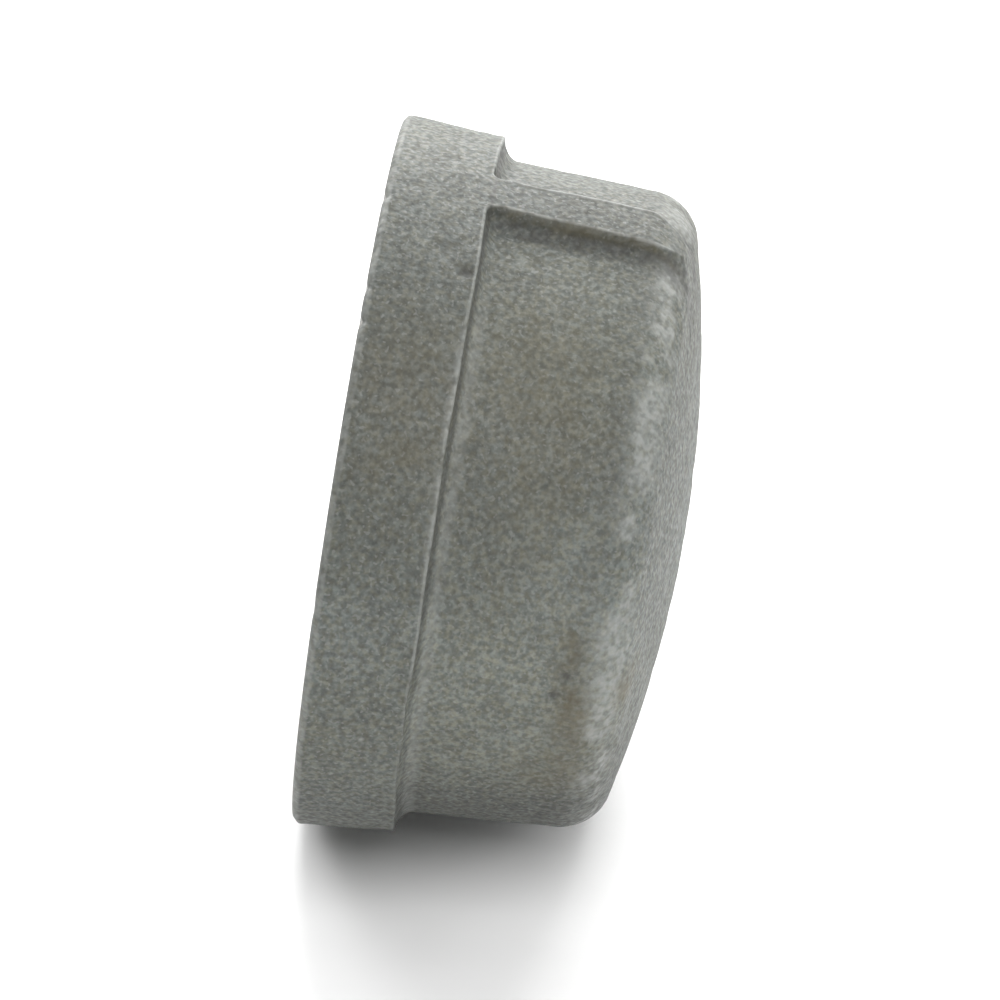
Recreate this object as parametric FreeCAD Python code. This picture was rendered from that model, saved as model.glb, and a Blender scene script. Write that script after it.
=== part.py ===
import FreeCAD, Part
import math
import os

# Screwed pipe cap, 2 1/2 inch, class 150 malleable iron, banded, with two grip ribs.
# One casting. The axis of the cap is the X axis. The origin is the centre of the mouth face.
# The mouth faces -X and the domed end faces +X. +Z is up: the cap lies on its side,
# with one grip rib on top and the other underneath.

# Overall sizes, in mm
band_od = 91.16
total_height = 43.3
band_width = 12.9
band_draft_deg = 4.4
body_od = 83.8
body_draft_deg = 3.0
crown_radius = 150.0
shoulder_radius = 6.4
rim_edge_radius = 1.0
band_fillet_radius = 2.6

# Grip ribs
rib_width_at_band = 6.2
rib_width_at_end = 7.8
rib_shoulder_radius = 6.4

# Cavity and thread: 2 1/2 - 8 NPT, taper 1 in 16 on the diameter
end_thickness = 6.2
cavity_corner_radius = 5.5
pitch = 3.175
pitch_diameter_at_mouth = 70.159
thread_depth = 0.8 * pitch
thread_length = 24.4
taper_half_deg = math.degrees(math.atan(1.0 / 32.0))
flank_half_deg = 30.0
crest_flat_min = 0.225
countersink_diameter = 73.4
countersink_half_deg = 45.0

thread_start_deg = 100.0
sector_count = 8
neck_gap = 0.16
neck_depth = 2.0
mouth_overrun = 2.0

X = FreeCAD.Vector(1.0, 0.0, 0.0)
Y = FreeCAD.Vector(0.0, 1.0, 0.0)
ORIGIN = FreeCAD.Vector(0.0, 0.0, 0.0)


def drop(length, angle_deg):
    return length * math.tan(math.radians(angle_deg))


def revolve_outline(points, sweep_deg=360.0):
    """Turns an outline of (x, r) corners in the XZ plane into a solid about the X axis."""
    corners = [FreeCAD.Vector(x, 0.0, r) for x, r in points]
    wire = Part.makePolygon(corners + [corners[0]])
    return Part.Face(wire).revolve(ORIGIN, X, sweep_deg)


def circles_at(shape, x, radius):
    """The full-circle edges of a shape about the X axis at one station."""
    found = []
    for edge in shape.Edges:
        if edge.Degenerated:
            continue
        curve = edge.Curve
        if not isinstance(curve, Part.Circle):
            continue
        if abs(curve.Center.x - x) > 1e-4 or abs(curve.Radius - radius) > 1e-4:
            continue
        found.append(edge)
    return found


# The crown: a shallow dome that meets the drafted body at the body corner
band_r = band_od / 2.0
band_back_r = band_r - drop(band_width, band_draft_deg)
body_r_at_band = body_od / 2.0
crown_centre_x = total_height - crown_radius


def crown_x(r, radius=crown_radius):
    """Station of the dome at a distance r from the axis."""
    return crown_centre_x + math.sqrt(radius * radius - r * r)


def body_corner(r_start, angle_deg):
    """Where a drafted wall that starts at the band meets the dome."""
    r = r_start
    for _ in range(40):
        r = r_start - drop(crown_x(r) - band_width, angle_deg)
    return crown_x(r), r


corner_x, corner_r = body_corner(body_r_at_band, body_draft_deg)


def domed_solid(base_x, base_r, end_x, end_r, dome_r, sweep_deg=360.0):
    """A drafted wall from (base_x, base_r) to (end_x, end_r), closed by a dome of radius dome_r."""
    a = FreeCAD.Vector(base_x, 0.0, 0.0)
    b = FreeCAD.Vector(base_x, 0.0, base_r)
    c = FreeCAD.Vector(end_x, 0.0, end_r)
    mid_r = end_r / 2.0
    centre_x = end_x - math.sqrt(dome_r * dome_r - end_r * end_r)
    m = FreeCAD.Vector(centre_x + math.sqrt(dome_r * dome_r - mid_r * mid_r), 0.0, mid_r)
    d = FreeCAD.Vector(centre_x + dome_r, 0.0, 0.0)
    edges = [
        Part.makeLine(a, b),
        Part.makeLine(b, c),
        Part.Arc(c, m, d).toShape(),
        Part.makeLine(d, a),
    ]
    return Part.Face(Part.Wire(edges)).revolve(ORIGIN, X, sweep_deg)


body = domed_solid(0.0, body_r_at_band + drop(band_width, body_draft_deg), corner_x, corner_r, crown_radius)
body = body.makeFillet(shoulder_radius, circles_at(body, corner_x, corner_r))

band = revolve_outline([(0.0, 0.0), (0.0, band_r), (band_width, band_back_r), (band_width, 0.0)])
band = band.makeFillet(rim_edge_radius, circles_at(band, 0.0, band_r))

# Grip ribs: each is a slab through the axis, kept only where it lies inside a drafted
# envelope that carries on the outside of the band and lands on the dome.
rib_corner_x, rib_corner_r = body_corner(band_back_r, band_draft_deg)
envelope = domed_solid(0.0, band_r, rib_corner_x, rib_corner_r, crown_radius)
envelope = envelope.makeFillet(rib_shoulder_radius, circles_at(envelope, rib_corner_x, rib_corner_r))
rib_start_x = band_width / 2.0
half_start = rib_width_at_band / 2.0
half_end = rib_width_at_end / 2.0
slab_corners = [
    FreeCAD.Vector(rib_start_x, -half_start, -band_od),
    FreeCAD.Vector(total_height, -half_end, -band_od),
    FreeCAD.Vector(total_height, half_end, -band_od),
    FreeCAD.Vector(rib_start_x, half_start, -band_od),
]
slab_base = Part.Face(Part.makePolygon(slab_corners + [slab_corners[0]]))
slab = slab_base.extrude(FreeCAD.Vector(0.0, 0.0, 2.0 * band_od))
ribs = slab.common(envelope)

outside = band.fuse([body, ribs]).removeSplitter()


def step_edges(shape):
    """The inside corner where the band steps down to the body, between the ribs."""
    found = []
    for edge in shape.Edges:
        if edge.Degenerated:
            continue
        middle = edge.valueAt((edge.FirstParameter + edge.LastParameter) / 2.0)
        radius = math.hypot(middle.y, middle.z)
        if abs(middle.x - band_width) < 1e-3 and abs(radius - body_r_at_band) < 1e-3:
            found.append(edge)
    return found


outside = outside.makeFillet(band_fillet_radius, step_edges(outside))

# Cavity: a straight bore at the crests of the thread, a rounded corner and a slightly domed end.
# It is built from equal sectors, so that each crest of the thread is made of short faces.
pitch_r = pitch_diameter_at_mouth / 2.0
flank_tan = math.tan(math.radians(flank_half_deg))
bore_r = pitch_r - (pitch / 4.0 - crest_flat_min / 2.0) / flank_tan
cavity_dome_r = crown_radius - end_thickness
cavity_depth = total_height - end_thickness
cavity_corner_x = cavity_depth - cavity_dome_r + math.sqrt(cavity_dome_r ** 2 - bore_r ** 2)
sink_r = countersink_diameter / 2.0
sink_depth = (sink_r - bore_r) / math.tan(math.radians(countersink_half_deg))
sink_corners = [
    (-mouth_overrun, 0.0),
    (-mouth_overrun, sink_r + mouth_overrun),
    (sink_depth, bore_r),
    (sink_depth, 0.0),
]


def cavity_sector(index):
    """One sector of the cavity with its share of the countersink."""
    sweep_deg = 360.0 / sector_count
    core = domed_solid(-mouth_overrun, bore_r, cavity_corner_x, bore_r, cavity_dome_r, sweep_deg)
    core = core.makeFillet(cavity_corner_radius, circles_at(core, cavity_corner_x, bore_r))
    sector = core.fuse(revolve_outline(sink_corners, sweep_deg)).removeSplitter()
    sector.rotate(ORIGIN, X, index * sweep_deg)
    return sector


sectors = [cavity_sector(i) for i in range(sector_count)]
cavity = sectors[0].fuse(sectors[1:])

# Thread groove: a vee swept along a tapered right-hand helix, one solid per turn,
# from the deep end out past the mouth
taper = math.tan(math.radians(taper_half_deg))
half_depth = thread_depth / 2.0
half_root = pitch / 4.0 - half_depth * flank_tan
half_neck = pitch / 2.0 - neck_gap / 2.0
neck_in = (half_neck - pitch / 4.0) / flank_tan


def groove_turn(deep_x):
    """One turn of the groove. It starts at deep_x and winds towards the mouth."""
    helix_r = pitch_r - taper * deep_x
    helix = Part.makeHelix(pitch, pitch, helix_r, taper_half_deg)
    outline = [
        (half_depth, -half_root),
        (half_depth, half_root),
        (-neck_in, half_neck),
        (-neck_in - neck_depth, half_neck),
        (-neck_in - neck_depth, -half_neck),
        (-neck_in, -half_neck),
    ]
    corners = [FreeCAD.Vector(helix_r + r, 0.0, z) for r, z in outline]
    sweep = Part.BRepOffsetAPI.MakePipeShell(Part.Wire(helix.Edges))
    sweep.setFrenetMode(True)
    sweep.add(Part.makePolygon(corners + [corners[0]]))
    sweep.build()
    sweep.makeSolid()
    turn = sweep.shape()
    turn.rotate(ORIGIN, Y, -90.0)
    turn.translate(FreeCAD.Vector(deep_x, 0.0, 0.0))
    turn.rotate(ORIGIN, X, thread_start_deg)
    return turn


turn_count = int(math.ceil(thread_length / pitch)) + 1
grooves = [groove_turn(thread_length - i * pitch) for i in range(turn_count)]

cap = outside.cut(cavity)
for groove in grooves:
    cap = cap.cut(groove)

os.makedirs("parts", exist_ok=True)
cap.exportStep("parts/cap_casting.step")
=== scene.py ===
import math

import bmesh
import bpy
import numpy as np
from mathutils import Matrix, Vector


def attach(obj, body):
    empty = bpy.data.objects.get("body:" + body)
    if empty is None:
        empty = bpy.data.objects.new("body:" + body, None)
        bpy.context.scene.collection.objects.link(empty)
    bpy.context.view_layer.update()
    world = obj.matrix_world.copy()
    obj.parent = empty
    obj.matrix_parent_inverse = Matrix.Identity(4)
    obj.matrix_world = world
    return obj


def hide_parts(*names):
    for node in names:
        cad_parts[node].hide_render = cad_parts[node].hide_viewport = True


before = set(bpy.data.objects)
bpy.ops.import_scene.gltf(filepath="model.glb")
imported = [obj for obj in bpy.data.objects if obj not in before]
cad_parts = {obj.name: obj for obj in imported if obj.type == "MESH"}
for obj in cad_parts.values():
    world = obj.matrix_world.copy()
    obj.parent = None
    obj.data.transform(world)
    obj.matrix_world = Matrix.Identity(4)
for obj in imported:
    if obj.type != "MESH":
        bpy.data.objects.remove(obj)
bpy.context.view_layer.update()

# One closed mesh of a cast pipe cap, in the CAD's frame: the axis is X, the mouth faces -X, and
# the ribs stand at +Z and -Z. The mesh is made in mm and written in metres.

# ---------------------------------------------------------------- sizes in mm, as in the CAD source
BAND_R = 45.58
HEIGHT = 43.3
BAND_WIDTH = 12.9
BAND_DRAFT = math.radians(4.4)
BAND_TAN = math.tan(BAND_DRAFT)
BODY_R = 41.9
BODY_DRAFT = math.radians(3.0)
BODY_TAN = math.tan(BODY_DRAFT)
CROWN_R = 150.0
CROWN_X = HEIGHT - CROWN_R
RIM_EDGE = 1.0
STEP_FILLET = 2.6
RIB_START = 6.2
RIB_END = 7.8
BORE_R = 33.8995
SINK_R = 36.7
PITCH = 3.175
PITCH_R = 35.0795
TAPER = 1.0 / 32.0
GROOVE_HALF_DEPTH = 1.27
ROOT_HALF_FLAT = 0.0607
THREAD_LENGTH = 24.4
# the CAD turns its helix by 100 degrees from +Z, and angles here are counted from +Y
THREAD_START = math.radians(190.0)
TAN30 = math.tan(math.radians(30.0))
END_THICKNESS = 6.2
CAVITY_FILLET = 5.5

# ---------------------------------------------------------------- sizes of this mesh only, in mm
SHOULDER_ROUND = 4.55  # the distance function's rounding, close to the CAD's 6.4 mm fillet
RIB_TAPER_FROM = 6.45
RIB_TAPER_LENGTH = 36.85
RIB_FOOT = 1.3
RIB_EDGE = 0.32
RUN_OUT = math.radians(55.0)
CREST_ROUND = 0.004  # square mm
COLUMNS = 620
MERGE = 3e-6  # metres
RIB_PLANE = 30.0  # |z| beyond this is near a rib
RIB_FALL = 0.06  # how fast the ribs' outer face comes in with x


# ---------------------------------------------------------------- small tools
def smooth(a, b, v):
    """0 at a, 1 at b, with a soft start and end. b may be the smaller one."""
    t = np.clip((v - a) / (b - a), 0.0, 1.0)
    return t * t * (3.0 - 2.0 * t)


def between(v, rise, full, last, gone):
    """0 up to rise, 1 from full to last, and 0 again from gone on."""
    return smooth(rise, full, v) * smooth(gone, last, v)


def bump_at(v, centre, width):
    return np.exp(-(((v - centre) / width) ** 2))


noise_tables = {}


def lattice(p, wavelength, seed):
    """Smooth value noise, 0 to 1, on points in mm."""
    if seed not in noise_tables:
        noise_tables[seed] = np.random.RandomState(seed).rand(64, 64, 64)
    table = noise_tables[seed]
    q = p / wavelength + 1000.0 + seed * 7.31
    cell = np.floor(q).astype(int)
    f = q - cell
    f = f * f * (3.0 - 2.0 * f)
    out = np.zeros(len(p))
    for corner in ((a, b, c) for a in (0, 1) for b in (0, 1) for c in (0, 1)):
        share = np.ones(len(p))
        for axis, step in enumerate(corner):
            share = share * (f[:, axis] if step else 1.0 - f[:, axis])
        i, j, k = ((cell[:, axis] + step) % 64 for axis, step in enumerate(corner))
        out += share * table[i, j, k]
    return out


def union_round(a, b, r):
    """The distance to two shapes together, with a fillet of radius r between them."""
    fillet = np.hypot(np.maximum(r - a, 0.0), np.maximum(r - b, 0.0))
    return np.maximum(r, np.minimum(a, b)) - fillet


def cut_round(a, b, r):
    """The distance to what two shapes share, with its edge rounded to radius r."""
    edge = np.hypot(np.maximum(r + a, 0.0), np.maximum(r + b, 0.0))
    return np.minimum(-r, np.maximum(a, b)) + edge


def rib_half_width(x):
    """Half the width of a rib, which widens towards the dome."""
    share = np.clip((x - RIB_TAPER_FROM) / RIB_TAPER_LENGTH, 0.0, 1.0)
    return 0.5 * (RIB_START + (RIB_END - RIB_START) * share)


# ---------------------------------------------------------------- the outside, as a distance
def outside(x, y, z):
    r = np.hypot(y, z)
    body = (r - (BODY_R - (x - BAND_WIDTH) * BODY_TAN)) * math.cos(BODY_DRAFT)
    band = (r - (BAND_R - x * BAND_TAN)) * math.cos(BAND_DRAFT)
    # the ribs' sides and the band's back edge wander a little, as a mould's parting line does
    wander = 0.07 * np.sin(x * 0.37 + np.sign(z) * 1.3) + 0.03 * np.sin(x * 1.05 + 0.4)
    rib = np.abs(y + wander) - rib_half_width(x)
    around = np.arctan2(z, y)
    edge_x = BAND_WIDTH + 0.10 * np.sin(7.0 * around) + 0.07 * np.sin(17.0 * around + 1.0)
    plan = union_round(x - edge_x, rib, RIB_FOOT)
    along = np.clip((x - BAND_WIDTH - 0.5) / 3.0, 0.0, 1.0)
    near_dome = smooth(32.0, 40.5, x)
    step = cut_round(band, plan, RIB_EDGE + 0.22 * along + 1.3 * near_dome)
    side = union_round(body, step, STEP_FILLET - 1.1 * along)
    dome = np.sqrt((x - CROWN_X) ** 2 + r * r) - CROWN_R
    whole = cut_round(side, dome, SHOULDER_ROUND)
    return cut_round(whole, -x, RIM_EDGE)


def outside_rows():
    """Rows from the mouth's inner edge over the rim, the band, the body and the shoulder to the
    middle of the dome. Each is a start point (x, r) and the lean of its search line."""
    # x, r, lean in degrees, spacing up to the next stop
    stops = [
        (0.0, SINK_R, -90.0, 0.60),
        (0.0, 44.3, -90.0, 0.12),
        (0.35, 45.2, -48.0, 0.12),
        (1.1, 45.5, -12.0, 0.35),
        (3.0, 45.3, 0.0, 0.50),
        (12.2, 44.6, 24.0, 0.12),
        (12.9, 44.55, 33.0, 0.13),
        (13.1, 43.6, 34.0, 0.22),
        (13.9, 42.4, 35.0, 0.28),
        (15.6, 41.8, 36.0, 0.48),
        (33.5, 40.8, 40.0, 0.34),
        (37.4, 39.2, 58.0, 0.34),
        (39.4, 35.6, 74.0, 0.48),
        (41.9, 20.0, 83.0, 0.62),
        (43.28, 2.0, 89.2, 0.62),
        (43.3, 0.0, 90.0, 0.62),
    ]
    rows = []
    for (x0, r0, a0, spacing), (x1, r1, a1, _) in zip(stops[:-1], stops[1:]):
        n = max(1, int(math.ceil(math.hypot(x1 - x0, r1 - r0) / spacing)))
        for k in range(n):
            t = k / n
            lean = math.radians(a0 + (a1 - a0) * t)
            rows.append((x0 + (x1 - x0) * t, r0 + (r1 - r0) * t, lean))
    return np.array(rows)


def column_angles():
    """Turn angles about X, closer together where the rib sides stand."""
    fine = np.linspace(0.0, 2.0 * math.pi, 20001)
    weight = np.ones_like(fine)
    for centre in (0.5 * math.pi, 1.5 * math.pi):
        weight += 3.0 * bump_at(np.degrees(fine - centre), 0.0, 8.5)
    total = np.concatenate([[0.0], np.cumsum(0.5 * (weight[1:] + weight[:-1]))])
    total /= total[-1]
    return np.interp(np.linspace(0.0, 1.0, COLUMNS + 1)[:-1], total, fine)


# columns are ordered by how far the thread has turned from its start
turn = np.sort((THREAD_START - column_angles()) % (2.0 * math.pi))
phi = THREAD_START - turn
cos_p, sin_p = np.cos(phi), np.sin(phi)

rows = outside_rows()
base_x, base_r, lean = rows[:, 0][:, None], rows[:, 1][:, None], rows[:, 2][:, None]
lo = np.full((len(rows), COLUMNS), -3.0)
hi = np.full((len(rows), COLUMNS), 5.0)


def on_line(t):
    r = base_r + t * np.cos(lean)
    return base_x + t * np.sin(lean), r * cos_p, r * sin_p


# halving the search line 24 times finds the surface to well under a micron
for _ in range(24):
    mid = 0.5 * (lo + hi)
    inside = outside(*on_line(mid)) < 0.0
    lo = np.where(inside, mid, lo)
    hi = np.where(inside, hi, mid)
outer = np.stack(on_line(0.5 * (lo + hi)), -1)
outer[0] = np.stack([np.zeros(COLUMNS), SINK_R * cos_p, SINK_R * sin_p], -1)

# ---------------------------------------------------------------- the inside: thread, corner, end
cavity_dome_r = CROWN_R - END_THICKNESS
cavity_centre = (HEIGHT - END_THICKNESS) - cavity_dome_r
corner_r = BORE_R - CAVITY_FILLET
corner_x = cavity_centre + math.sqrt((cavity_dome_r - CAVITY_FILLET) ** 2 - corner_r**2)


def root_r(x):
    return PITCH_R - x * TAPER + GROOVE_HALF_DEPTH


# The rows of one turn, from the middle of a crest across the groove. Each lies at
# side * (share * the groove's half width + shift) from the groove's centre, in pitches.
TURN_ROWS = (
    (1.0, 0.0, 0.5),
    (1.0, 1.0, 0.012),
    (1.0, 1.0, -0.02),
    (1.0, 0.67, 0.0),
    (1.0, 0.34, 0.0),
    (1.0, 0.0, 0.022),
    (-1.0, 0.0, 0.022),
    (-1.0, 0.34, 0.0),
    (-1.0, 0.67, 0.0),
    (-1.0, 1.0, -0.02),
    (-1.0, 1.0, 0.012),
)
LAST_TURN = -9  # past the mouth in every column
first_turn = int(math.ceil((corner_x - THREAD_LENGTH + PITCH) / PITCH)) + 1


def thread_row(k, side, share, shift):
    """One row of the helical strip: points on the groove and the crests of turn k."""
    centre = THREAD_LENGTH - PITCH * turn / (2.0 * math.pi) + k * PITCH
    edge = ((root_r(centre) - BORE_R) * TAN30 + ROOT_HALF_FLAT) / PITCH
    x = np.clip(centre + side * (share * edge + shift) * PITCH, 0.0, corner_x)
    depth = smooth(0.0, RUN_OUT, turn - 2.0 * math.pi * k)
    deep = BORE_R + (root_r(x) - BORE_R) * depth
    vee = deep - np.maximum(np.abs(x - centre) - ROOT_HALF_FLAT, 0.0) / TAN30
    r = 0.5 * (vee + BORE_R + np.sqrt((vee - BORE_R) ** 2 + CREST_ROUND))
    r = np.where(depth <= 0.0, BORE_R, r)
    r = np.where(x >= corner_x - 1e-6, BORE_R, r)
    r = np.maximum(r, SINK_R - x)  # the 45 degree countersink
    r = np.where(x <= 1e-6, SINK_R, r)
    return np.stack([x, r * cos_p, r * sin_p], -1)


strip = np.array(
    [thread_row(k, *row) for k in range(first_turn, LAST_TURN - 1, -1) for row in TURN_ROWS]
)

end_rows = []
tangent = math.asin(corner_r / (cavity_dome_r - CAVITY_FILLET))
for a in np.linspace(math.pi / 2, tangent, 16):
    x_off, r_off = CAVITY_FILLET * math.cos(a), CAVITY_FILLET * math.sin(a)
    end_rows.append((corner_x + x_off, corner_r + r_off))
start_r = end_rows[-1][1]
for t in np.linspace(0.0, 1.0, 34)[1:-1]:
    r = start_r * (1.0 - t)
    end_rows.append((cavity_centre + math.sqrt(cavity_dome_r**2 - r * r), r))
end_x, end_r = np.array(end_rows).T[:, :, None]
end = np.stack([np.repeat(end_x, COLUMNS, 1), end_r * cos_p, end_r * sin_p], -1)

# ---------------------------------------------------------------- one closed mesh
tips = [[HEIGHT, 0, 0], [HEIGHT - END_THICKNESS, 0, 0]]
points = np.concatenate([outer.reshape(-1, 3), strip.reshape(-1, 3), end.reshape(-1, 3), tips])
dome_tip, end_tip = len(points) - 2, len(points) - 1


def grid_faces(first, count, seam_shift=0):
    """Quads over count rows. The last column meets the first one seam_shift rows further on."""
    i = np.arange(count - 1)[:, None]
    j = np.arange(COLUMNS - 1)[None, :]
    a = first + i * COLUMNS + j
    quads = [np.stack([a, a + 1, a + COLUMNS + 1, a + COLUMNS], -1).reshape(-1, 4)]
    i = np.arange(count - 1 - seam_shift)
    left = first + i * COLUMNS + COLUMNS - 1
    right = first + (i + seam_shift) * COLUMNS
    quads.append(np.stack([left, right, right + COLUMNS, left + COLUMNS], -1))
    return np.concatenate(quads)


def fan(first, tip):
    return [(first + a, first + (a + 1) % COLUMNS, tip) for a in range(COLUMNS)]


base_strip = len(outer) * COLUMNS
base_end = base_strip + len(strip) * COLUMNS
quads = np.concatenate(
    [
        grid_faces(0, len(outer)),
        grid_faces(base_strip, len(strip), len(TURN_ROWS)),
        grid_faces(base_end, len(end)),
    ]
)
polygons = [tuple(int(v) for v in q) for q in quads]
polygons += fan((len(outer) - 1) * COLUMNS, dome_tip)
polygons += fan(base_end + (len(end) - 1) * COLUMNS, end_tip)

mesh = bpy.data.meshes.new("cap_casting_skin")
mesh.from_pydata((points / 1000.0).tolist(), [], polygons)
bm = bmesh.new()
bm.from_mesh(mesh)
bmesh.ops.remove_doubles(bm, verts=bm.verts, dist=MERGE)
bmesh.ops.dissolve_degenerate(bm, edges=bm.edges, dist=1e-6)
loose = [v for v in bm.verts if not v.link_faces]
bmesh.ops.delete(bm, geom=loose, context="VERTS")
bmesh.ops.recalc_face_normals(bm, faces=bm.faces)
bm.to_mesh(mesh)
bm.free()


def read_out(collection, prop, width, kind):
    values = np.empty(len(collection) * width, kind)
    collection.foreach_get(prop, values)
    return values.reshape(-1, width)


count = len(mesh.vertices)
co = read_out(mesh.vertices, "co", 3, np.float32).astype(float) * 1000.0
normal = read_out(mesh.vertex_normals, "vector", 3, np.float32).astype(float)
pairs = read_out(mesh.edges, "vertices", 2, np.int32)


def spread(values, rounds):
    """Each vertex takes the mean of itself and its neighbours."""
    for _ in range(rounds):
        total = values.copy()
        many = np.ones(count)
        np.add.at(total, pairs[:, 0], values[pairs[:, 1]])
        np.add.at(total, pairs[:, 1], values[pairs[:, 0]])
        np.add.at(many, pairs.ravel(), 1.0)
        values = total / many
    return values


# how the surface bends at each vertex: above 0 on outer edges, below 0 in inner corners
gap = co[pairs[:, 1]] - co[pairs[:, 0]]
swing = np.einsum("ij,ij->i", normal[pairs[:, 1]] - normal[pairs[:, 0]], gap)
bend = swing / np.maximum((gap**2).sum(1), 1e-4)
curve = np.zeros(count)
many = np.zeros(count)
np.add.at(curve, pairs.ravel(), np.repeat(bend, 2))
np.add.at(many, pairs.ravel(), 1.0)
curve = spread(curve / np.maximum(many, 1.0), 2)

# ---------------------------------------------------------------- where each vertex lies
x, y, z = co.T
radius = np.hypot(y, z)
angle = np.degrees(np.arctan2(z, -y))  # 0 at -Y, 90 at the upper rib
rib_plane = np.abs(z) > RIB_PLANE
rib_half = rib_half_width(x)
off_side = np.abs(y) - rib_half  # distance from the nearer rib side, below 0 on the rib
outer_skin = smooth(0.15, 0.9, outside(x, y, z) + 1.0) * smooth(-0.2, 0.4, x)
on_skin = outer_skin > 0.5
threaded = (radius < 37.2) & (x < corner_x + 0.2)
mouth_face = np.where(x < 0.4, smooth(0.35, 0.05, x) * smooth(45.0, 44.6, radius), 0.0)
machined = np.maximum(np.where(threaded, 1.0, 0.0), mouth_face)
# the band's back edge carries flash on the upper half only
flash_side = smooth(-14.0, 22.0, angle)


def turned_from(spot):
    """Degrees from a spot's angle, -180 to 180."""
    return (angle - spot + 180.0) % 360.0 - 180.0


def at(px, pa, width, tall=None):
    """1 at a spot given by its station and its angle round the cap, falling off over a width."""
    arc = np.radians(turned_from(pa)) * np.maximum(radius, 5.0)
    return np.exp(-(((x - px) / width) ** 2) - (arc / (tall or width)) ** 2) * on_skin


def rib_top():
    """Above 0 on the ribs' outer face, up to where it turns over the shoulder."""
    out = radius + np.maximum(x - 35.0, 0.0) * 0.9
    return smooth(43.6 - RIB_FALL * x, 44.4 - RIB_FALL * x, out)


# ---------------------------------------------------------------- the sand-cast surface
grain = lattice(co, 3.1, 1) * 0.40 + lattice(co, 1.7, 2) * 0.36 + lattice(co, 0.95, 3) * 0.24
swell = lattice(co, 11.0, 4)
cast = np.where(machined > 0.5, 0.0, 1.0)
cast = cast * smooth(0.0, 0.8, np.maximum(x, (radius - 44.2)))
# sink is how far each vertex moves inward, so the mesh stays inside the CAD box
sink = cast * (0.03 + 0.15 * np.clip((0.62 - grain) / 0.4, 0.0, 1.0) + 0.08 * swell)
# a fine flash line stands along the band's back edge, and the band just in front of it is lower
off_ribs = np.abs(np.abs(angle) - 90.0) > 7.0
flash = bump_at(x, BAND_WIDTH - 0.15, 0.45) * (radius > 43.6) * off_ribs * flash_side
sink += cast * 0.05 * bump_at(x, BAND_WIDTH - 1.5, 0.8) * (radius > 43.6)
sink -= flash * sink * 0.8
# and a ridge of flash along the ribs' far edges
rib_edge = bump_at(y - rib_half, -0.25, 0.42) * rib_plane
rib_edge *= between(x, 13.0, 15.0, 39.5, 41.5) * rib_top()
sink -= 0.18 * rib_edge

# pits: station, angle, width, height, depth
PITS = [
    (11.7, 70.0, 0.95, 0.60, 0.50),
    (31.3, 4.0, 0.80, 0.60, 0.45),
    (30.2, 0.0, 0.75, 0.60, 0.40),
    (27.0, 61.0, 0.55, 0.45, 0.22),
    (22.0, -22.0, 0.60, 0.45, 0.25),
    (5.5, 22.0, 0.50, 0.40, 0.16),
    (9.0, 128.0, 0.70, 0.50, 0.32),
    (24.0, 150.0, 0.80, 0.55, 0.36),
    (29.5, 205.0, 0.60, 0.60, 0.30),
    (6.0, 238.0, 0.60, 0.50, 0.28),
]
DARK_PITS = 3  # the first ones are also darkened
# nicks in the rim's edge: angle, width, depth
NICKS = (
    (58.0, 0.55, 0.50),
    (83.0, 0.8, 0.38),
    (64.0, 0.7, 0.30),
    (12.0, 0.9, 0.18),
    (171.0, 1.0, 0.45),
    (214.0, 0.6, 0.40),
    (301.0, 0.9, 0.4),
)
for px, pa, wide, tall, deep in PITS:
    sink += deep * at(px, pa, wide, tall)
rim_edge = smooth(1.6, 0.2, x) * smooth(43.6, 45.0, radius)
for pa, wide, deep in NICKS:
    arc = np.radians(turned_from(pa)) * radius
    sink += deep * np.exp(-((arc / wide) ** 2)) * rim_edge
co -= normal * sink[:, None]
co[:, 0] = np.clip(co[:, 0], 0.0, HEIGHT)
mesh.vertices.foreach_set("co", (co / 1000.0).astype(np.float32).ravel())
mesh.update()

# ---------------------------------------------------------------- painted facts for the material
# x, y and z are views of co, so from here on they are the places after the sinking, while radius,
# angle and the rib's half width are still those from before it
blot = lattice(co, 5.5, 5) * 0.6 + lattice(co, 2.3, 6) * 0.4
speckle = lattice(co, 0.9, 7) * 0.5 + lattice(co, 0.55, 8) * 0.5
off_side = np.abs(y) - rib_half
rib_plane = np.abs(z) > RIB_PLANE

# bare, brighter iron on edges, rubbed bare; on the shoulder and along the flash it is part rubbed
# iron and part painted highlight, and on the step's fillet and the ribs' far edges it is painted
# highlight
wear_and_highlight = smooth(0.10, 0.75, curve) * (0.35 + 0.9 * blot)
wear_and_highlight *= 1.0 - 0.8 * bump_at(x, BAND_WIDTH, 1.0) * (radius > 43.4) * (1.0 - flash_side)
# the shoulder: part rubbed-bare iron, part painted highlight
shoulder = bump_at(x, 36.3, 2.0) * between(radius, 35.0, 37.5, 41.2, 42.8)
shoulder *= 1.0 - 0.7 * smooth(0.6, -0.4, off_side) * rib_plane
# a bright line on the flash ridge, part rubbed iron and part painted highlight, strongest on the
# upper front
upper = between(angle, 5.0, 30.0, 57.0, 66.0)
ridge = bump_at(x, BAND_WIDTH - 0.20, 0.24 + 0.24 * upper) * (radius > 44.0)
ridge *= (0.15 + 0.85 * upper) * smooth(0.3, 1.6, off_side) * flash_side
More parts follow.
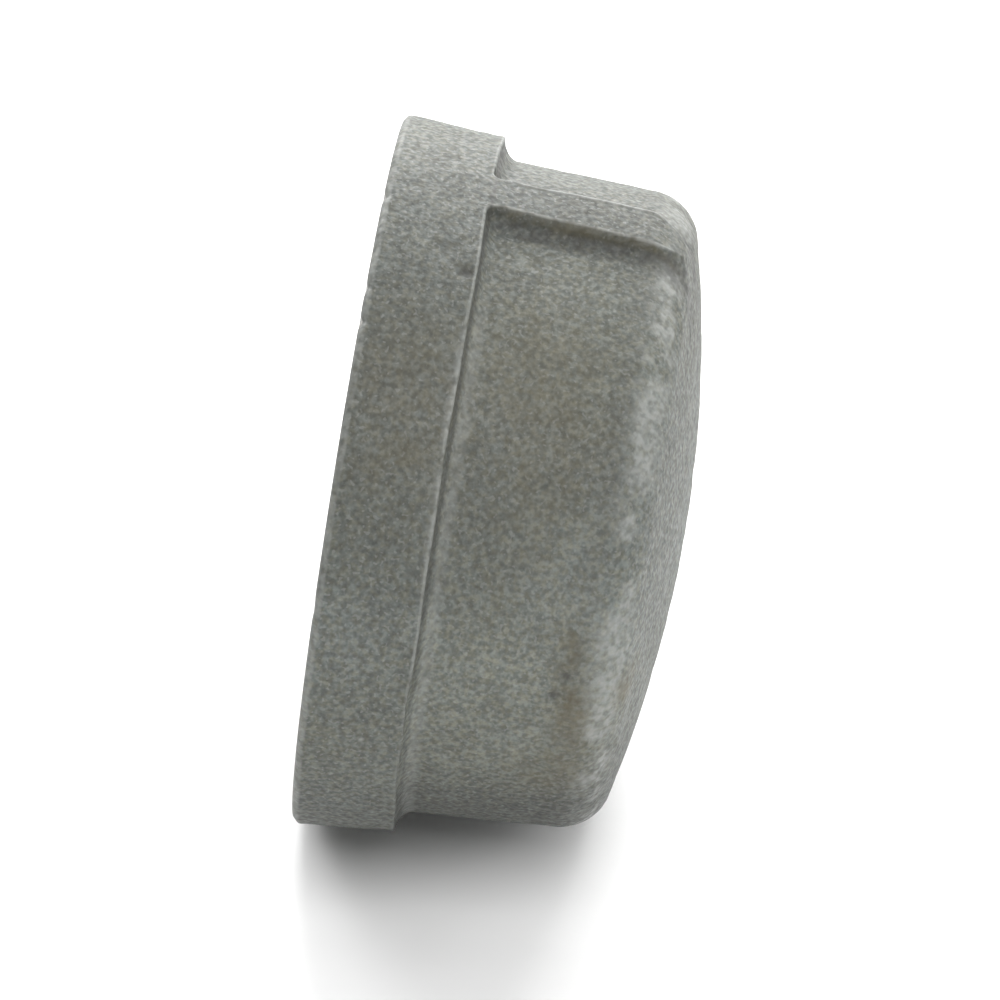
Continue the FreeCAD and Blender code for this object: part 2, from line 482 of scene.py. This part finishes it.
# painted highlight: a lighter strip on the fillet behind the band's step
fillet = between(x, BAND_WIDTH + 0.4, BAND_WIDTH + 1.0, BAND_WIDTH + 1.6, BAND_WIDTH + 2.6)
fillet *= (radius < 44.0) * between(angle, -75.0, -40.0, 55.0, 75.0)
for patch in (
    shoulder * smooth(0.30, 0.62, blot) * 0.9,
    ridge * smooth(0.20, 0.55, blot),
    0.42 * fillet,
    1.25 * shoulder * smooth(0.40, 0.58, speckle) * smooth(0.22, 0.45, blot),
):
    wear_and_highlight = np.maximum(wear_and_highlight, patch)
wear_and_highlight = np.clip(wear_and_highlight, 0.0, 1.0) * (machined < 0.5)
# painted highlight: a light line along the ribs' far edges
far_edge = bump_at(off_side, -0.18, 0.52) * (y > 0.0) * rib_plane
far_edge *= between(x, 13.5, 15.5, 42.0, 43.0) * rib_top()
wear_and_highlight = np.maximum(wear_and_highlight, 1.3 * far_edge * smooth(0.15, 0.4, blot))
# a pale patch on the shoulder, part rubbed iron and part painted highlight, and a small bright spot
# on the band
wear_and_highlight = np.maximum(wear_and_highlight, 0.9 * at(36.4, -1.0, 1.4, 3.2) + 1.0 * at(7.8, -11.7, 0.35, 0.3))

# painted shade: darker in inner corners and in the thread, a mottled painted shadow beside the
# ribs, painted shade under the flash line and just before the shoulder, and darker in the first
# pits
# painted shadow on the step beside the ribs
beside_rib = smooth(3.2, 0.6, np.abs(off_side)) * rib_plane
beside_rib *= smooth(44.0 - RIB_FALL * x, 43.2 - RIB_FALL * x, radius)
beside_rib *= between(x, 13.2, 14.2, 38.0, 40.5)
# painted shade: a dark line under the band's flash ridge
under_ridge = bump_at(x, BAND_WIDTH + 0.27, 0.27) * (radius > 42.6) * (radius < 44.75)
under_ridge *= 0.35 + 0.65 * flash_side
# painted shade in inner corners, stronger on the cut thread
painted_shade = np.clip(smooth(0.12, 0.5, -curve), 0.0, 1.0) * (0.35 + 0.65 * machined)
painted_shade = np.maximum(painted_shade, 0.9 * under_ridge)
mottled = 0.15 + 0.5 * blot + 1.1 * smooth(0.35, 0.62, speckle)
painted_shade = np.clip(np.maximum(painted_shade, beside_rib * mottled), 0.0, 1.0)
# painted shade: a darker band just before the shoulder
before_shoulder = bump_at(x, 32.8, 1.8) * (radius > 39.5) * (machined < 0.5)
painted_shade = np.maximum(painted_shade, 0.22 * before_shoulder)
# the first pits are darkened too
for px, pa, wide, tall, _ in PITS[:DARK_PITS]:
    pit_darkening = np.clip(2.2 * at(px, pa, wide * 0.8, tall * 0.9), 0.0, 1.0)
    painted_shade = np.maximum(painted_shade, pit_darkening)

# brown spots: strength, station, angle, width, height
BROWN = (
    (1.0, 31.2, 9.0, 1.8, 3.6),
    (1.0, 32.6, -2.5, 2.0, 4.2),
    (0.6, 33.5, -13.0, 2.6, 5.0),
    (1.2, 38.5, -0.5, 0.9, 2.8),
    (0.55, 7.5, 44.0, 6.5, 12.0),
    (0.45, 22.0, 56.0, 8.0, 9.0),
    (0.42, 24.0, 34.0, 9.0, 12.0),
    (0.45, 31.0, -18.0, 5.0, 6.0),
    (0.5, 20.0, 141.0, 8.0, 12.0),
    (0.5, 34.0, 220.0, 5.0, 12.0),
    (0.45, 8.0, 260.0, 6.0, 14.0),
    (0.35, 40.0, 120.0, 6.0, 9.0),
)
rust_and_shade = sum(strength * at(*spot) for strength, *spot in BROWN)
# painted shade: a dark brown line along the ribs' near edges, on the -Y side
near_edge = bump_at(off_side, -0.2, 0.3) * (y < 0.0) * (np.abs(z) > 38.0)
rust_and_shade += 0.7 * near_edge * between(x, 13.0, 14.0, 38.0, 40.0)
rust_and_shade = np.clip(rust_and_shade * (0.45 + 1.1 * blot), 0.0, 1.0)

# painted light and shade: the iron is lighter towards -Y and darker below it, towards the floor:
# angle, on the body, on the band
PAINTED_LIGHT_TONES = np.array(
    [
        (-180.0, 1.0, 1.0),
        (-125.0, 1.0, 1.0),
        (-95.0, 0.72, 0.76),
        (-60.0, 0.56, 0.66),
        (-38.0, 0.60, 0.78),
        (-26.0, 0.77, 0.96),
        (-12.0, 1.26, 1.08),
        (5.0, 1.42, 1.05),
        (20.0, 1.14, 1.0),
        (35.0, 1.0, 0.95),
        (48.0, 1.06, 0.88),
        (58.0, 1.14, 0.87),
        (74.0, 1.10, 0.84),
        (92.0, 0.95, 0.83),
        (110.0, 1.0, 1.0),
        (180.0, 1.0, 1.0),
    ]
).T
share = between(x, BAND_WIDTH - 0.5, BAND_WIDTH + 0.5, 38.0, 42.0)
drift = angle + 26.0 * (lattice(co, 14.0, 9) - 0.5)
painted_light_tone = share * np.interp(drift, PAINTED_LIGHT_TONES[0], PAINTED_LIGHT_TONES[1])
painted_light_tone += (1.0 - share) * np.interp(drift, PAINTED_LIGHT_TONES[0], PAINTED_LIGHT_TONES[2])
painted_light_tone = np.where(x > 38.0, 1.0 + (painted_light_tone - 1.0) * smooth(42.0, 38.0, x), painted_light_tone)
# painted shade: the ribs' outer faces are darker
on_rib = smooth(1.0, -1.0, off_side) * rib_plane * between(x, 8.0, 17.0, 27.0, 39.0)
painted_light_tone = np.where(on_skin, painted_light_tone * (1.0 - 0.29 * on_rib), 1.0)

for name, values in (
    ("wear_and_highlight", wear_and_highlight),
    ("painted_shade", painted_shade),
    ("rust_and_shade", rust_and_shade),
    ("machined", machined),
    ("painted_light_tone", painted_light_tone),
):
    layer = mesh.attributes.new(name, "FLOAT", "POINT")
    layer.data.foreach_set("value", values.astype(np.float32))
mesh.shade_smooth()

cap = bpy.data.objects.new("cap_casting_skin", mesh)
bpy.context.scene.collection.objects.link(cap)


# ---------------------------------------------------------------- material
class Nodes:
    """A short way to write a node tree. A socket given as a value is linked, a number is set."""

    def __init__(self, owner):
        owner.use_nodes = True
        self.tree = owner.node_tree
        self.tree.nodes.clear()

    def put(self, socket, value):
        if isinstance(value, bpy.types.NodeSocket):
            self.tree.links.new(value, socket)
        else:
            socket.default_value = value

    def add(self, kind, inputs=(), **settings):
        node = self.tree.nodes.new(kind)
        for key, value in settings.items():
            setattr(node, key, value)
        for key, value in dict(inputs).items():
            self.put(node.inputs[key], value)
        return node

    def math(self, kind, a, b=0.0):
        return self.add("ShaderNodeMath", {0: a, 1: b}, operation=kind).outputs[0]

    def attribute(self, name):
        return self.add("ShaderNodeAttribute", attribute_name=name).outputs["Fac"]

    def ramp(self, value, stops):
        node = self.add("ShaderNodeValToRGB", {"Fac": value})
        band = node.color_ramp
        while len(band.elements) < len(stops):
            band.elements.new(0.5)
        for element, (place, colour) in zip(band.elements, stops):
            element.position = place
            element.color = (*colour, 1.0)
        return node.outputs["Color"]

    def mix(self, fac, a, b, blend="MIX"):
        node = self.add("ShaderNodeMix", data_type="RGBA", blend_type=blend, clamp_result=False)
        # inputs 6 and 7 are the two colours of a colour mix, and output 2 is its result
        for index, value in ((0, fac), (6, a), (7, b)):
            self.put(node.inputs[index], value)
        return node.outputs[2]

    def noise(self, place, scale, detail=2.0, rough=0.5):
        inputs = {"Vector": place, "Scale": scale, "Detail": detail, "Roughness": rough}
        return self.add("ShaderNodeTexNoise", inputs).outputs["Fac"]

    def combine(self, kind, a, b, c):
        return self.add(kind, {0: a, 1: b, 2: c}).outputs[0]


def grey(v):
    return (v, v, v)


BROWN_DARK = (0.062, 0.053, 0.029, 1.0)
BROWN_LIGHT = (0.122, 0.103, 0.056, 1.0)
BARE_SPECK = (0.27, 0.28, 0.27, 1.0)
WORN_AND_LIT_IRON = (0.340, 0.352, 0.335, 1.0)
PAINTED_SHADE_COLOUR = (0.040, 0.039, 0.036, 1.0)
STAINED_CUT = (0.17, 0.145, 0.11, 1.0)
PAINTED_SHADE_CUT = (0.10, 0.085, 0.06, 1.0)

iron = bpy.data.materials.new("cast_iron_malleable")
n = Nodes(iron)
where = n.add("ShaderNodeTexCoord").outputs["Object"]
wear_and_highlight_in = n.attribute("wear_and_highlight")
painted_shade_in = n.attribute("painted_shade")
rust_and_shade_in = n.attribute("rust_and_shade")
machined_in = n.attribute("machined")
painted_light_in = n.attribute("painted_light_tone")

sand = n.noise(where, 1420.0, 1.0)
fine = n.noise(where, 3400.0, 1.0)
mottle = n.noise(where, 210.0, 3.0, 0.6)
cloud = n.noise(where, 38.0)
sparkle = n.noise(where, 900.0, 1.0, 0.4)
tinge = n.noise(where, 1250.0, 1.0)

# as-cast iron
BASE_STOPS = [
    (0.30, (0.089, 0.0935, 0.084)),
    (0.52, (0.104, 0.110, 0.100)),
    (0.72, (0.120, 0.1275, 0.116)),
]
base = n.ramp(mottle, BASE_STOPS)
for texture, stops in (
    (cloud, [(0.35, (0.90, 0.90, 0.84)), (0.65, (1.04, 1.06, 1.05))]),
    (sand, [(0.34, grey(0.76)), (0.50, grey(0.98)), (0.66, grey(1.30))]),
    (fine, [(0.36, grey(0.92)), (0.55, grey(1.04))]),
    (tinge, [(0.36, (1.04, 1.0, 0.91)), (0.50, (1.0, 1.0, 1.0)), (0.64, (0.96, 1.0, 1.04))]),
):
    base = n.mix(1.0, base, n.ramp(texture, stops), "MULTIPLY")
# painted light and shade round the cap
painted_light_grey = n.combine("ShaderNodeCombineColor", painted_light_in, painted_light_in, painted_light_in)
base = n.mix(1.0, base, painted_light_grey, "MULTIPLY")
pin = n.ramp(n.noise(where, 2100.0, 0.0), [(0.66, grey(0.0)), (0.76, grey(1.0))])
base = n.mix(n.math("MULTIPLY", pin, 0.30), base, BARE_SPECK)
brown = n.mix(n.noise(where, 700.0, 2.0, 0.6), BROWN_DARK, BROWN_LIGHT)
rust_and_shade_spots = n.ramp(n.noise(where, 420.0, 3.0, 0.65), [(0.36, grey(0.35)), (0.58, grey(1.0))])
# rusty stains, and the painted shade line along the ribs' near edges
rust_and_shade_fac = n.math("MULTIPLY", rust_and_shade_in, rust_and_shade_spots)
base = n.mix(n.math("MULTIPLY", rust_and_shade_fac, 0.88), base, brown)
# rubbed iron and painted highlights
wear_and_highlight_break = n.ramp(sparkle, [(0.34, grey(0.35)), (0.56, grey(1.0))])
worn_and_lit = n.math("MULTIPLY", wear_and_highlight_in, wear_and_highlight_break)
base = n.mix(n.math("MULTIPLY", worn_and_lit, 0.55), base, WORN_AND_LIT_IRON)
# painted shade
base = n.mix(n.math("MULTIPLY", painted_shade_in, 0.62), base, PAINTED_SHADE_COLOUR)

# turned iron: noise on (radius, station) gives rings round the axis
split = n.add("ShaderNodeSeparateXYZ", {0: where})
y_squared, z_squared = (n.math("POWER", split.outputs[axis], 2.0) for axis in (1, 2))
away = n.math("SQRT", n.math("ADD", y_squared, z_squared))
waver = n.math("MULTIPLY", cloud, 0.0004)
ring_at = n.combine("ShaderNodeCombineXYZ", away, split.outputs[0], waver)
rings = n.noise(ring_at, 3600.0, 2.0, 0.65)
stain = n.noise(where, 130.0, 4.0, 0.6)
CUT_STOPS = [(0.30, (0.25, 0.252, 0.245)), (0.50, (0.33, 0.332, 0.322)), (0.70, (0.43, 0.43, 0.41))]
cut = n.ramp(rings, CUT_STOPS)
cut = n.mix(n.ramp(stain, [(0.48, grey(0.0)), (0.70, grey(0.55))]), cut, STAINED_CUT)
# painted shade on the cut iron too
cut = n.mix(n.math("MULTIPLY", painted_shade_in, 0.6), cut, PAINTED_SHADE_CUT)
base = n.mix(machined_in, base, cut)

metal = n.math("MULTIPLY", machined_in, 0.85)
cast_rough = n.ramp(sand, [(0.3, grey(0.74)), (0.7, grey(0.52))])
cut_rough = n.ramp(stain, [(0.3, grey(0.36)), (0.7, grey(0.56))])
rough = n.mix(machined_in, cast_rough, cut_rough)
height = n.math("ADD", n.math("MULTIPLY", sand, 0.7), n.math("MULTIPLY", fine, 0.3))
height = n.math("ADD", height, n.math("MULTIPLY", sparkle, 0.6))
height = n.mix(machined_in, height, n.math("MULTIPLY", rings, 0.35))
bump = n.add("ShaderNodeBump", {"Strength": 0.6, "Distance": 0.00014, "Height": height})
shader = n.add(
    "ShaderNodeBsdfPrincipled",
    {
        "Base Color": base,
        "Roughness": rough,
        "Metallic": metal,
        "Normal": bump.outputs[0],
        "Specular IOR Level": 0.55,
    },
)
n.add("ShaderNodeOutputMaterial", {"Surface": shader.outputs[0]})
mesh.materials.append(iron)

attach(cap, "root")
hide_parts("cap_casting")

# ---------------------------------------------------------------- floor, from here on in metres
# The cap lies on the lower rib and the rim, so the floor follows the draft of the band.
FLOOR_HALF = 0.45
FLOOR_GAP = 0.0001
tilt = math.atan(BAND_TAN)
along = Vector((math.cos(tilt), 0.0, math.sin(tilt)))
middle = Vector((0.0, 0.0, -BAND_R / 1000.0 - FLOOR_GAP))
corners = [
    tuple(middle + along * (a * FLOOR_HALF) + Vector((0.0, b * FLOOR_HALF, 0.0)))
    for a, b in ((-1, -1), (1, -1), (1, 1), (-1, 1))
]
floor_mesh = bpy.data.meshes.new("floor")
floor_mesh.from_pydata(corners, [], [(0, 1, 2, 3)])
floor = bpy.data.objects.new("floor", floor_mesh)
bpy.context.scene.collection.objects.link(floor)
card = bpy.data.materials.new("pale_floor")
f = Nodes(card)
paper_noise = f.noise(f.add("ShaderNodeTexCoord").outputs["Object"], 60.0)
paper = f.ramp(paper_noise, [(0.3, grey(0.90)), (0.7, grey(0.93))])
sheen = f.add(
    "ShaderNodeBsdfPrincipled",
    {"Base Color": paper, "Roughness": 0.42, "Specular IOR Level": 0.35},
)
f.add("ShaderNodeOutputMaterial", {"Surface": sheen.outputs[0]})
floor_mesh.materials.append(card)

# ---------------------------------------------------------------- light
# The camera sees a white background, while the room itself adds only a little light.
ROOM_LIGHT = 0.17
scene = bpy.context.scene
world = bpy.data.worlds.new("studio")
scene.world = world
w = Nodes(world)
seen = w.add("ShaderNodeLightPath").outputs["Is Camera Ray"]
glow = w.add("ShaderNodeMapRange", {"Value": seen, "To Min": ROOM_LIGHT, "To Max": 1.0})
backdrop = w.add(
    "ShaderNodeBackground", {"Color": (1, 1, 1, 1), "Strength": glow.outputs[0]}
)
w.add("ShaderNodeOutputWorld", {"Surface": backdrop.outputs[0]})

AIM = Vector((0.02, 0.0, 0.0))


def softbox(name, place, width, depth, power):
    light = bpy.data.lights.new(name, "AREA")
    light.shape = "RECTANGLE"
    light.size = width
    light.size_y = depth
    light.energy = power
    lamp = bpy.data.objects.new(name, light)
    lamp.location = place
    lamp.rotation_euler = (AIM - Vector(place)).to_track_quat("-Z", "Y").to_euler()
    lamp.visible_camera = False
    scene.collection.objects.link(lamp)


# name, place and size in metres, power in watts
for box in (
    ("back_box", (0.02, 0.85, 0.30), 0.7, 0.4, 6.2),
    ("left_back_box", (-0.60, 0.60, 0.40), 0.5, 0.5, 6.0),
    ("low_front_box", (0.02, -0.70, 0.04), 0.8, 0.12, 0.9),
    ("right_box", (0.90, 0.0, 0.45), 0.5, 0.5, 3.2),
    ("right_back_box", (0.60, 0.60, 0.40), 0.5, 0.5, 2.6),
    ("top_box", (0.02, 0.0, 0.90), 0.6, 0.6, 0.6),
    ("top_back_box", (0.02, 0.45, 0.75), 0.6, 0.5, 5.0),
    ("top_front_box", (0.02, -0.50, 0.75), 0.6, 0.5, 4.6),
):
    softbox(*box)

# ---------------------------------------------------------------- camera
SENSOR_MM = 36.0
TARGET = Vector((0.021, 0.0, 0.0))
AZIMUTH = math.radians(1.2339)
ELEVATION = math.radians(34.8361)
ROLL = math.radians(8.3502)
DISTANCE = 0.81056
LENS_MM = 230.214852
# how far the middle of the view lies from the target, in metres
OFF_RIGHT = -0.0017451196
OFF_UP = -0.0007011913

level = math.cos(ELEVATION)
back = Vector((math.sin(AZIMUTH) * level, -math.cos(AZIMUTH) * level, math.sin(ELEVATION)))
right = Vector((math.cos(AZIMUTH), math.sin(AZIMUTH), 0.0))
up = back.cross(right)
view_right = math.cos(ROLL) * right + math.sin(ROLL) * up
view_up = -math.sin(ROLL) * right + math.cos(ROLL) * up
eye = TARGET + back * DISTANCE + view_right * OFF_RIGHT + view_up * OFF_UP
lens = bpy.data.cameras.new("camera")
lens.sensor_width = SENSOR_MM
lens.lens = LENS_MM
lens.clip_start = 0.01
lens.clip_end = 50.0
camera = bpy.data.objects.new("camera", lens)
pose = Matrix((view_right, view_up, back)).transposed().to_4x4()
pose.translation = eye
camera.matrix_world = pose
scene.collection.objects.link(camera)
scene.camera = camera
scene.view_settings.view_transform = "Standard"
